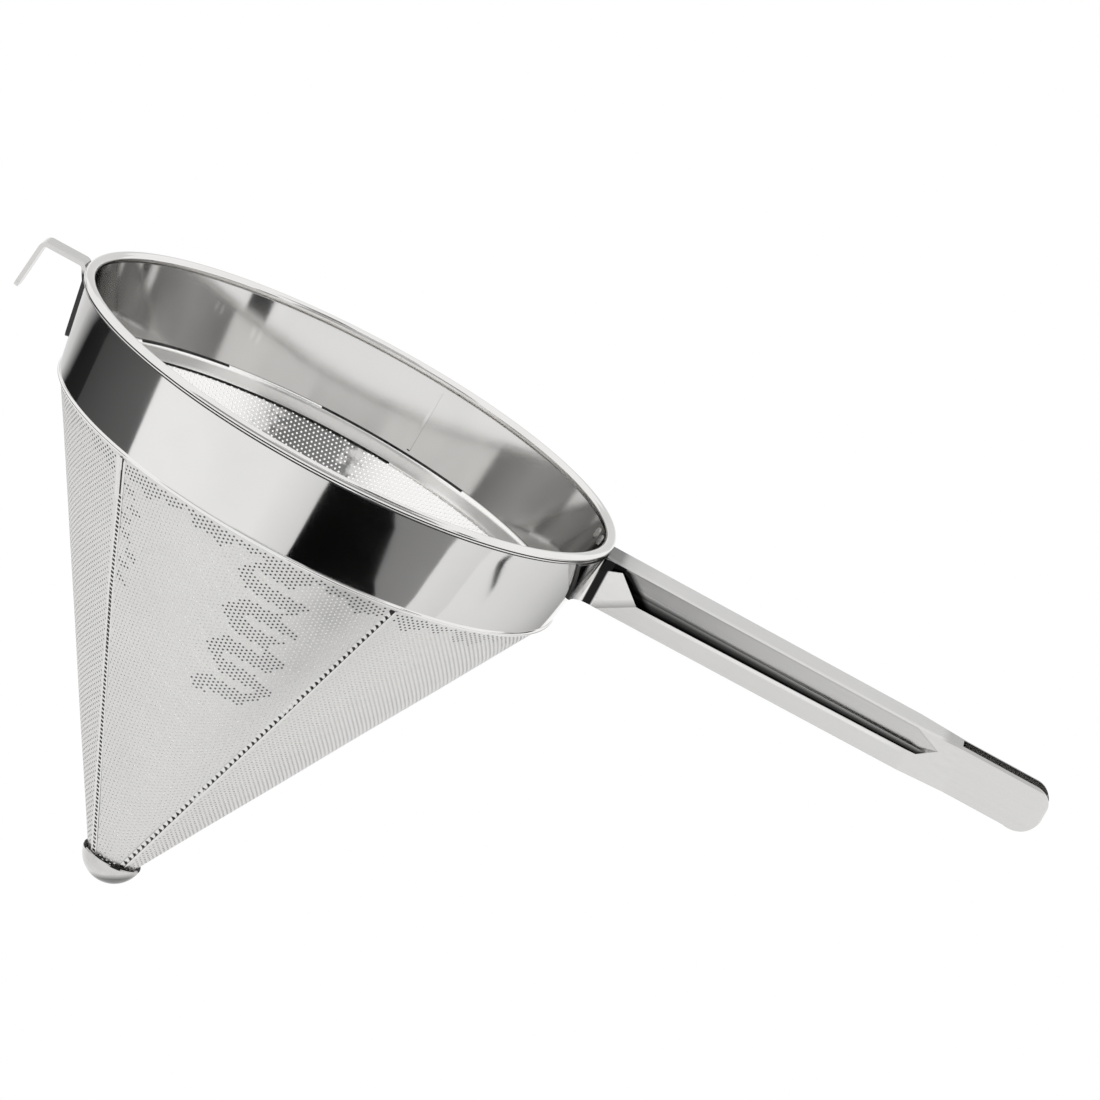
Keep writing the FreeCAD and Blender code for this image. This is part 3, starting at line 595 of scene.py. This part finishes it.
def looks_dark(gore, s, t):
    """Whether a hole is closed by the dark film of painted shade: in a strip along the band, and in
    zigzag rows across the front gore."""
    if gore in BACK_GORES:
        return False
    below = slant_at(GORE_TOP) - math.hypot(s, t)
    if below < BAND_STRIP + 2.5 * math.sin(0.19 * s + gore) + 1.5 * math.sin(0.53 * s):
        return True
    if gore != FRONT_GORE:
        return False
    zig = abs((t / 11.0) % 2 - 1)
    first = 1.0 + 9.0 * zig
    last = 35.0 - 11.0 * abs((t / 9.0 + 0.4) % 2 - 1)
    row = t / ROW_PITCH + 0.1 * s / (2 * math.pi)
    side = 1.0 if math.floor(row) % 2 else -1.0
    light = math.sin(2 * math.pi * row) < -0.4 and side * (s - 0.5 * (first + last)) > -6.0
    middle = first < s < last and t > ROWS_FROM and not light
    edge = -0.262 * t - 3.0 + 7.0 * zig
    by_seam = abs(s - edge) < 3.5 and t > EDGE_ROWS_FROM and math.sin(t * 0.9) > -0.3
    return middle or by_seam


def thicken(outer, inner, faces):
    """Outer and inner faces of a sheet, and the walls along all its edges."""
    count = len(outer)
    edges = {}
    for face in faces:
        for n, a in enumerate(face):
            b = face[(n + 1) % len(face)]
            if a != b:
                edges[(a, b)] = True
    walls = [(b, a, a + count, b + count) for a, b in edges if (b, a) not in edges]
    back = [tuple(a + count for a in reversed(face)) for face in faces]
    return np.concatenate([outer, inner]), faces + walls + back


def is_open(flat, face):
    """Whether a face still has an area after its corners were drawn in."""
    spots = flat[list(face)]
    x, y = spots[:, 0], spots[:, 1]
    return abs(np.dot(x, np.roll(y, -1)) - np.dot(y, np.roll(x, -1))) > 0.02


def make_gores():
    """Five perforated gores: four wide ones and, last, the narrow one at the front."""
    for gore in range(GORE_COUNT):
        width = NARROW_GORE if gore == FRONT_GORE else WIDE_GORE
        flat, faces, holes = perforated_sheet(width)
        faces = [face for face in faces if is_open(flat, face)]
        slant = np.hypot(flat[:, 0], flat[:, 1])
        turn = np.arctan2(flat[:, 0], flat[:, 1]) / math.sin(CONE_ANGLE)
        middle = math.radians(FIRST_SEAM + gore * WIDE_GORE + width / 2)
        # hand-rolled sheet: a tenth of a millimetre of waviness
        wave = 0.10 * np.sin(slant / 17.0 + gore * 2.1) * np.sin(turn * 6.0 + slant / 41.0 + gore)
        outer = cone_point(slant, turn + middle, wave)
        inner = cone_point(slant, turn + middle, wave - GORE_WALL)
        spots, skin = thicken(outer, inner, faces)
        # a dark film of painted shade makes a hole look black as in the photograph; on the real
        # object it is open
        films = [ring for s, t, ring in holes if looks_dark(gore, s, t)]
        name = "gore_%d" % (gore + 1)
        piece = make_piece(name + "_sheet", spots, skin + films, MESH, crease=30)
        piece.data.materials.append(INNER)
        piece.data.materials.append(PAINTED_SHADE)
        for face in piece.data.polygons[len(skin) - len(faces):len(skin)]:
            face.material_index = 1
        for face in piece.data.polygons[len(skin):]:
            face.material_index = 2
        place(piece, "perforated_steel", name)


def seam_cell(across, slant, top):
    """Height of the last seam at a place, and whether that place is dark.

    The fold is a low ridge; beside it runs a dark slit near the band and a dark ladder below, both
    painted shade.
    """
    if across < -0.9:
        return 0.42 * math.cos(max(across + 1.3, -0.9) * 1.9), False
    if top - slant < SLIT_LENGTH:
        return (0.05, True) if across < 0.45 else (0.1, False)
    rung = (slant / RUNG_PITCH) % 1.0 < 0.27
    return (0.16, False) if rung or across > 0.95 else (0.05, True)


def notch_cell(across, slant, top):
    """Height of a seam bitten by slanted notches at a place, and whether that place is painted dark
    as shade.
    """
    if across < -0.85:
        return 0.36 * math.cos(max(across + 1.2, -0.9) * 1.9), False
    if top - slant < 1.4 or across < -0.6:
        return 0.05, True
    share = min(1.0, (1.8 - across) / 1.5)
    dark = ((slant - 0.9 * across) / NOTCH_PITCH) % 1.0 < 0.52 * share
    return (0.05, True) if dark else (0.12, False)


def make_seam(gore):
    """Folded joint of two gores, as a strip with dark faces of painted shade; the last one bends at
    its top.
    """
    azimuth = math.radians(FIRST_SEAM + gore * WIDE_GORE)
    is_ladder = gore == FRONT_GORE
    facing = 1.0 if is_ladder else -1.0
    top = slant_at(SEAM_TOP)
    low = slant_at(SEAM_LOW)
    rows = int((top - low) / SEAM_ROW)
    cell = seam_cell if is_ladder else notch_cell
    spots = []
    dark = []
    for row in range(rows + 1):
        slant = low + (top - low) * row / rows
        straight = (top - slant) / SEAM_BEND_LENGTH
        bend = SEAM_BEND * max(0.0, 1.0 - straight) if is_ladder else 0.0
        for column in range(SEAM_COLUMNS + 1):
            across = (2 * SEAM_REACH + bend) * column / SEAM_COLUMNS - SEAM_REACH
            rise, is_dark = cell(across - bend, slant, top)
            if column in (0, SEAM_COLUMNS):
                rise = 0.0
            turn = azimuth + facing * across / (slant * math.sin(CONE_ANGLE))
            spots.append(cone_point(slant, turn, max(rise, 0.0) + 0.04))
            dark.append(is_dark)
    width = SEAM_COLUMNS + 1
    faces = []
    for row in range(rows):
        for column in range(SEAM_COLUMNS):
            a = row * width + column
            ring = (a, a + 1, a + 1 + width, a + width)
            faces.append(ring if is_ladder else ring[::-1])
    piece = make_piece("seam_%d" % (gore + 1), spots, faces, SEAM, crease=50)
    piece.data.materials.append(PAINTED_SHADE)
    # dark cells take the painted shade material
    for face in piece.data.polygons:
        face.material_index = 1 if sum(dark[k] for k in face.vertices) >= 3 else 0
    place(piece, "perforated_steel")


# ---------------------------------------------------------------- tip cap

def make_cap():
    """Thin domed cap over the cone's point, with dark marks round its rolled lip."""
    skirt = -(CAP_EDGE + 0.8)
    drop = CAP_LOW + skirt
    ball = (CAP_RADIUS ** 2 + drop ** 2) / (2 * drop)
    mid = -CAP_LOW + ball
    outer = []
    for k in range(DOME_STEPS + 1):
        angle = math.asin(CAP_RADIUS / ball) * k / DOME_STEPS
        outer.append((ball * math.sin(angle), mid - ball * math.cos(angle)))
    lip = [(CAP_RADIUS + 0.02, -(CAP_EDGE + 0.35)), (CAP_RADIUS - 0.12, -(CAP_EDGE + 0.08)),
           (CAP_RADIUS - 0.4, -CAP_EDGE), (cone_radius(CAP_EDGE) + 0.05, -(CAP_EDGE + 0.1)),
           (cone_radius(CAP_EDGE) - 0.2, -(CAP_EDGE + 0.6))]
    inner = [(max(r - CAP_WALL, 0.0), z + CAP_WALL * 0.9) for r, z in reversed(outer)]
    profile = outer[1:] + lip + inner[1:-1]
    spots, faces = lathe(profile, steps=CAP_STEPS, closed=False)
    spots = spots.tolist()
    count = len(profile)
    low = len(spots)
    spots.append([0.0, 0.0, -CAP_LOW])
    spots.append([0.0, 0.0, -CAP_LOW + CAP_WALL])
    for turn in range(CAP_STEPS):
        after = (turn + 1) % CAP_STEPS
        faces.append((turn * count, low, after * count))
        faces.append((turn * count + count - 1, after * count + count - 1, low + 1))
    piece = make_piece("cap_shell", spots, faces, CAP, crease=60)
    piece.data.materials.append(PAINTED_SHADE)
    # lip faces painted dark as shade where the lip meets the cone, in broken stretches, and three
    # longer dark marks
    for number, face in enumerate(piece.data.polygons[:CAP_STEPS * (count - 1)]):
        turn, row = divmod(number, count - 1)
        gap = math.sin(turn * 0.21) + math.sin(turn * 0.083 + 2.0) > -0.5
        mark = within(turn, CAP_MARKS)
        if (row in (15, 16) and gap) or (13 <= row <= 16 and mark):
            face.material_index = 1
    place(piece, "sheet_steel", "tip_cap")


make_band()
make_clamp_ring()
make_gores()
for gore in range(GORE_COUNT):
    make_seam(gore)
make_cap()

CARRIED = {
    "rim_wire": BEAD, "band_weld": INSIDE, "handle": GRIP, "hook": HOOK,
    "handle_spot_1": RING, "handle_spot_2": RING, "handle_spot_3": RING, "handle_spot_4": RING,
    "hook_spot_1": RING, "hook_spot_2": RING,
}
for name, material in CARRIED.items():
    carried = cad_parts[name]
    carried.data.materials.clear()
    carried.data.materials.append(material)


# ---------------------------------------------------------------- floor, cards, light, camera

def plain(name, level, emit=False):
    """A matt grey, or a grey that glows so that it mirrors at its own level."""
    material = bpy.data.materials.new(name)
    material.use_nodes = True
    tree = material.node_tree
    shader = tree.nodes["Principled BSDF"]
    if emit:
        glow = tree.nodes.new("ShaderNodeEmission")
        glow.inputs["Color"].default_value = (level, level, level, 1.0)
        tree.links.new(glow.outputs["Emission"], tree.nodes["Material Output"].inputs["Surface"])
        tree.nodes.remove(shader)
    else:
        shader.inputs["Base Color"].default_value = (level, level, level, 1.0)
        shader.inputs["Roughness"].default_value = 0.9
    return material


CARD_RADIUS = 450.0
SKY_LIGHT = 0.75
ELEVATION = math.radians(14.06)
ROLL = math.radians(28.6)
LENS = 196.4
CAMERA_METRES = 2.416
AIM_ALONG = 97.9
AIM_DOWN = 13.1
CARD_MARGIN = 60.0
VIEW = Vector((0.0, math.cos(ELEVATION), -math.sin(ELEVATION)))


def mirrored(azimuth, depth, radius=CARD_RADIUS):
    """Where the camera's line of sight lands on the card cylinder after it meets the band."""
    lean = math.atan(BAND_SLOPE)
    turn = math.radians(azimuth)
    normal = Vector((
        math.cos(turn) * math.cos(lean), math.sin(turn) * math.cos(lean), -math.sin(lean)))
    ray = VIEW - 2 * VIEW.dot(normal) * normal
    reach = band_radius(depth)
    start = Vector((reach * math.cos(turn), reach * math.sin(turn), -depth))
    a = ray.x ** 2 + ray.y ** 2
    b = start.x * ray.x + start.y * ray.y
    c = start.x ** 2 + start.y ** 2 - radius ** 2
    run = (-b + math.sqrt(b * b - a * c)) / a
    return start + ray * run


def card(name, spots, faces, tones):
    """A glowing panel of graded greys that only mirrors can see."""
    material = plain(name + "_tone", 1.0, emit=True)
    tree = material.node_tree
    level = tree.nodes.new("ShaderNodeAttribute")
    level.attribute_name = "tone"
    glow = next(node for node in tree.nodes if node.type == "EMISSION")
    tree.links.new(level.outputs["Color"], glow.inputs["Color"])
    made = make_piece(name, [tuple(spot) for spot in spots], faces, material, smooth=False)
    tone = made.data.attributes.new("tone", "FLOAT_COLOR", "POINT")
    for entry, value in zip(tone.data, tones):
        entry.color = (value, value, value, 1.0)
    made.visible_camera = False
    made.visible_diffuse = False
    made.visible_shadow = False
    made.visible_transmission = False


def strip_faces(steps):
    """Quads along a strip whose points come in pairs."""
    return [(2 * k, 2 * k + 1, 2 * k + 3, 2 * k + 2) for k in range(steps)]


def band_card(name, first, last, levels):
    """A card that shows on the band between two azimuths (each for the rim and the foot)."""
    steps = 24
    spots = []
    tones = []
    for k in range(steps + 1):
        t = k / steps
        upper = mirrored(first[0] + (last[0] - first[0]) * t, 3.0)
        lower = mirrored(first[1] + (last[1] - first[1]) * t, BAND_DEPTH)
        spread = (upper - lower).normalized() * CARD_MARGIN
        spots += [upper + spread, lower - spread]
        tones += [levels[0] + (levels[1] - levels[0]) * t] * 2
    card(name, spots, strip_faces(steps), tones)


def panel(name, corners, tones):
    """A flat card with a grey at each of its four corners."""
    steps = 12
    a, b, c, d = (np.array(corner, dtype=float) for corner in corners)
    spots = []
    levels = []
    for m in range(steps + 1):
        for n in range(steps + 1):
            s, t = n / steps, m / steps
            weights = ((1 - s) * (1 - t), s * (1 - t), s * t, (1 - s) * t)
            spots.append(weights[0] * a + weights[1] * b + weights[2] * c + weights[3] * d)
            levels.append(sum(w * tone for w, tone in zip(weights, tones)))
    row = steps + 1
    faces = [(m * row + n, m * row + n + 1, (m + 1) * row + n + 1, (m + 1) * row + n)
             for m in range(steps) for n in range(steps)]
    card(name, spots, faces, levels)


def ring_card(name, radius, first, last, low, high, tones):
    """An upright curved card between two azimuths and two heights."""
    steps = 24
    spots = []
    levels = []
    for k in range(steps + 1):
        t = k / steps
        turn = math.radians(first + (last - first) * t)
        level = tones[0] + (tones[1] - tones[0]) * t
        for height in (low, high):
            spots.append((radius * math.cos(turn), radius * math.sin(turn), height))
            levels.append(level)
    card(name, spots, strip_faces(steps), levels)


# what the outside of the band mirrors, from left to right
band_card("card_left", (-172.0, -176.0), (-160.0, -166.0), (0.8, 0.62))
band_card("card_fade", (-160.0, -166.0), (-152.8, -159.0), (0.62, 0.03))
band_card("card_edge", (-152.8, -159.0), (-146.0, -149.0), (0.012, 0.02))
band_card("card_dark", (-146.0, -149.0), (-126.1, -126.9), (0.06, 0.12))
band_card("card_white", (-126.1, -126.9), (-95.0, -95.0), (0.93, 0.9))
band_card("card_shade", (-95.0, -95.0), (-85.8, -86.0), (0.9, 0.72))
band_card("card_black", (-85.8, -86.0), (-70.6, -67.6), (0.003, 0.004))
band_card("card_grey", (-70.6, -67.6), (-57.6, -58.0), (0.22, 0.27))
band_card("card_bright", (-57.6, -58.0), (-49.0, -50.0), (0.82, 0.74))
band_card("card_right", (-49.0, -50.0), (-28.0, -30.0), (0.84, 0.7))
band_card("card_end", (-28.0, -30.0), (-10.0, -12.0), (0.7, 0.36))

# a thin bent strip that shows as a dark line near the band's right end: two azimuths and a depth
bent = [(-44.0, -43.1, -6.0), (-45.0, -43.7, 0.0), (-45.5, -43.8, 7.0), (-45.2, -43.5, 13.0),
        (-44.1, -42.6, 18.0), (-42.7, -41.7, 24.0)]
bent_spots = [mirrored(azimuth, depth, CARD_RADIUS - 6.0)
              for first, last, depth in bent for azimuth in (first, last)]
card("card_bent", bent_spots, strip_faces(len(bent) - 1), [0.01] * len(bent_spots))

# overhead and low panels that the pressed sides of the handle mirror
panel("card_over", [(110, -60, 480), (330, -60, 480), (330, -300, 480), (110, -300, 480)],
      (0.01, 0.35, 0.35, 0.01))
panel("card_under", [(110, -110, -300), (190, -110, -300), (190, -330, -300), (110, -330, -300)],
      (0.1, 0.56, 0.56, 0.1))
panel("card_under_end",
      [(190, -110, -300), (350, -110, -300), (350, -330, -300), (190, -330, -300)],
      (0.58, 0.86, 0.86, 0.58))
ring_card("card_back", 900.0, 60.0, 128.0, 40.0, 420.0, (0.75, 0.75))
panel("card_far_right", [(430, -300, -15), (640, -300, -15), (640, -300, 150), (430, -300, 150)],
      (0.05, 0.05, 0.05, 0.05))

# greys at the front, which the inside of the band and of the far cone wall mirror
panel("card_front_left", [(-330, -300, 50), (0, -300, 50), (0, -300, 240), (-330, -300, 240)],
      (0.27, 0.43, 0.43, 0.27))
panel("card_front_right", [(0, -300, 50), (330, -300, 50), (330, -300, 240), (0, -300, 240)],
      (0.43, 0.2, 0.2, 0.43))
panel("card_patch", [(-115, -300, 325), (305, -300, 325), (305, -300, 440), (-115, -300, 440)],
      (0.05, 0.05, 0.05, 0.05))

FLOOR_DEPTH = 560.0
FLOOR_REACH = 6000.0
floor_corners = [(x * FLOOR_REACH, y * FLOOR_REACH, -FLOOR_DEPTH)
                 for x, y in ((-1, -1), (1, -1), (1, 1), (-1, 1))]
floor = make_piece("floor", floor_corners, [(0, 1, 2, 3)], plain("floor_tone", 0.9), smooth=False)


def white_where_seen(material):
    """Let the camera and mirrors see a surface as plain white; it still takes soft light."""
    tree = material.node_tree
    path = tree.nodes.new("ShaderNodeLightPath")
    seen = tree.nodes.new("ShaderNodeMath")
    seen.operation = "MAXIMUM"
    tree.links.new(path.outputs["Is Camera Ray"], seen.inputs[0])
    tree.links.new(path.outputs["Is Glossy Ray"], seen.inputs[1])
    glow = tree.nodes.new("ShaderNodeEmission")
    glow.inputs["Color"].default_value = (1.0, 1.0, 1.0, 1.0)
    mix = tree.nodes.new("ShaderNodeMixShader")
    output = tree.nodes["Material Output"]
    surface = output.inputs["Surface"].links[0].from_socket
    tree.links.new(seen.outputs["Value"], mix.inputs["Fac"])
    tree.links.new(surface, mix.inputs[1])
    tree.links.new(glow.outputs["Emission"], mix.inputs[2])
    tree.links.new(mix.outputs["Shader"], output.inputs["Surface"])


white_where_seen(floor.data.materials[0])


def set_world():
    """White to the camera and to mirrors, and a little dimmer as a light."""
    world = bpy.data.worlds.new("studio")
    world.use_nodes = True
    bpy.context.scene.world = world
    tree = world.node_tree
    back = tree.nodes["Background"]
    back.inputs["Color"].default_value = (1.0, 1.0, 1.0, 1.0)
    path = tree.nodes.new("ShaderNodeLightPath")
    mix = tree.nodes.new("ShaderNodeMapRange")
    mix.inputs["To Min"].default_value = SKY_LIGHT
    mix.inputs["To Max"].default_value = 1.0
    seen = tree.nodes.new("ShaderNodeMath")
    seen.operation = "ADD"
    seen.use_clamp = True
    both = tree.nodes.new("ShaderNodeMath")
    both.operation = "ADD"
    both.use_clamp = True
    tree.links.new(path.outputs["Is Camera Ray"], seen.inputs[0])
    tree.links.new(path.outputs["Is Glossy Ray"], seen.inputs[1])
    tree.links.new(seen.outputs["Value"], both.inputs[0])
    tree.links.new(path.outputs["Is Transmission Ray"], both.inputs[1])
    tree.links.new(both.outputs["Value"], mix.inputs["Value"])
    tree.links.new(mix.outputs["Result"], back.inputs["Strength"])


set_world()


def set_camera():
    """A long lens at the photograph's angle, rolled as the photograph is."""
    up_0 = Vector((0.0, math.sin(ELEVATION), math.cos(ELEVATION)))
    across = Vector((1.0, 0.0, 0.0))
    right = across * math.cos(ROLL) + up_0 * math.sin(ROLL)
    up = -across * math.sin(ROLL) + up_0 * math.cos(ROLL)
    aim = (across * AIM_ALONG - up_0 * AIM_DOWN) * MM
    data = bpy.data.cameras.new("camera")
    data.sensor_width = 36.0
    data.lens = LENS
    data.clip_start = 0.1
    data.clip_end = 50.0
    camera = bpy.data.objects.new("camera", data)
    turn = Matrix((right, up, -VIEW)).transposed().to_4x4()
    camera.matrix_world = Matrix.Translation(aim - VIEW * CAMERA_METRES) @ turn
    bpy.context.scene.collection.objects.link(camera)
    bpy.context.scene.camera = camera


set_camera()
bpy.context.scene.view_settings.view_transform = "Standard"
